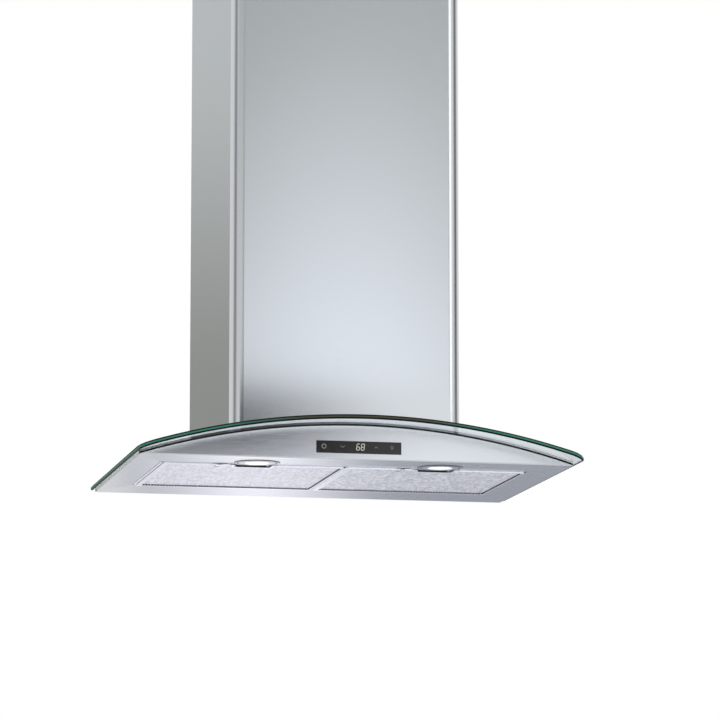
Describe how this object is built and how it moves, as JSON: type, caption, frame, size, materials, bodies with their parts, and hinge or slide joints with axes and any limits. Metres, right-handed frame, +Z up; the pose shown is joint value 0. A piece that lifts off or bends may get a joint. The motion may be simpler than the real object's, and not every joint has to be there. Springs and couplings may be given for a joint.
{
  "type": "range hood",
  "caption": "Wall-mounted range hood: arched glass canopy on a steel body with touch control, lamps and grease filters, under a brushed steel chimney.",
  "frame": {"origin": "on the wall plane, midway between the two hanging holes in the back of the motor housing", "axes": "+X to the right seen from the front, +Y into the wall, +Z up"},
  "size_m": [0.6, 0.46, 0.7404],
  "materials": {
    "stainless": "brushed",
    "galvanised": "matte zinc",
    "canopy_glass": "clear with green edges",
    "control_glass": "black gloss",
    "lamp_lens": "frosted",
    "seal_rubber": "matte black",
    "filter_aluminium": "rolled",
    "lamp_aluminium": "satin",
    "lamp_ring": "satin",
    "black_plastic": "matte",
    "grey_plastic": "matte",
    "circuit_board": "gloss",
    "display": "gloss",
    "zinc_screw": "zinc plated",
    "spring_steel": "satin",
    "motor_paint": "satin",
    "motor_iron": "laminated",
    "rotor_aluminium": "machined",
    "shaft_steel": "ground",
    "bearing_bronze": "sintered"
  },
  "bodies": {
    "hood": {"glass_canopy": "canopy_glass", "glass_seal": "seal_rubber", "glass_bushes": "seal_rubber", "glass_screws": "zinc_screw", "glass_nuts": "zinc_screw", "underside_frame": "stainless", "fascia_panel": "stainless", "body_top": "galvanised", "body_back": "galvanised", "control_glass": "control_glass", "control_carrier": "black_plastic", "control_board": "circuit_board", "display_module": "display", "electronics_box": "grey_plastic", "electronics_lid": "grey_plastic", "main_board": "circuit_board", "terminal_block": "grey_plastic", "lamp_ring_left": "lamp_ring", "lamp_ring_right": "lamp_ring", "lamp_lens_left": "lamp_lens", "lamp_lens_right": "lamp_lens", "lamp_cans": "lamp_aluminium", "lamp_modules": "circuit_board", "motor_housing": "galvanised", "housing_top": "galvanised", "cable_gland": "black_plastic", "motor_capacitor": "grey_plastic", "lamp_driver": "black_plastic", "scroll_left": "grey_plastic", "scroll_right": "grey_plastic", "motor_casing": "motor_paint", "motor_stator": "motor_iron", "motor_bearings": "bearing_bronze", "motor_spider": "galvanised", "outlet_collar": "black_plastic", "damper_spindle": "shaft_steel", "lower_cover": "stainless", "cover_clips": "galvanised", "pan_screws": "zinc_screw", "filter_catch_left": "spring_steel", "filter_catch_right": "spring_steel"},
    "filter_left": {"filter_frame_left": "filter_aluminium", "filter_mesh_left": "filter_aluminium", "filter_core_left": "filter_aluminium", "latch_spring_left": "spring_steel"},
    "filter_right": {"filter_frame_right": "filter_aluminium", "filter_mesh_right": "filter_aluminium", "filter_core_right": "filter_aluminium", "latch_spring_right": "spring_steel"},
    "latch_left": {"filter_latch_left": "filter_aluminium"},
    "latch_right": {"filter_latch_right": "filter_aluminium"},
    "impeller": {"impeller": "black_plastic", "motor_rotor": "rotor_aluminium", "motor_shaft": "shaft_steel"},
    "flap_left": {"damper_flap_left": "black_plastic"},
    "flap_right": {"damper_flap_right": "black_plastic"},
    "upper_cover": {"upper_cover": "stainless", "upper_bracket": "galvanised", "upper_screws": "zinc_screw"}
  },
  "joints": [
    {"name": "filter_left_tilt", "type": "hinge", "parent": "hood", "child": "filter_left", "pos_m": [-0.12525, -0.073, -0.2282], "axis": [1, 0, 0], "range_deg": [0, 80], "deforming": ["filter_catch_left"]},
    {"name": "filter_right_tilt", "type": "hinge", "parent": "hood", "child": "filter_right", "pos_m": [0.12525, -0.073, -0.2282], "axis": [1, 0, 0], "range_deg": [0, 80], "deforming": ["filter_catch_right"]},
    {"name": "latch_left_slide", "type": "slide", "parent": "filter_left", "child": "latch_left", "axis": [0, 1, 0], "range_m": [0, 0.005], "stiffness_N_per_m": 400, "springref_m": -0.003, "deforming": ["latch_spring_left"]},
    {"name": "latch_right_slide", "type": "slide", "parent": "filter_right", "child": "latch_right", "axis": [0, 1, 0], "range_m": [0, 0.005], "stiffness_N_per_m": 400, "springref_m": -0.003, "deforming": ["latch_spring_right"]},
    {"name": "impeller_spin", "type": "hinge", "parent": "hood", "child": "impeller", "pos_m": [0, -0.11, -0.08], "axis": [1, 0, 0], "continuous": true},
    {"name": "flap_left_lift", "type": "hinge", "parent": "hood", "child": "flap_left", "pos_m": [0, -0.169, 0.0662], "axis": [0, 1, 0], "range_deg": [0, 75]},
    {"name": "flap_right_lift", "type": "hinge", "parent": "hood", "child": "flap_right", "pos_m": [0, -0.169, 0.0662], "axis": [0, -1, 0], "range_deg": [0, 75]},
    {"name": "upper_cover_slide", "type": "slide", "parent": "hood", "child": "upper_cover", "axis": [0, 0, 1], "range_m": [0, 0.4]}
  ]
}
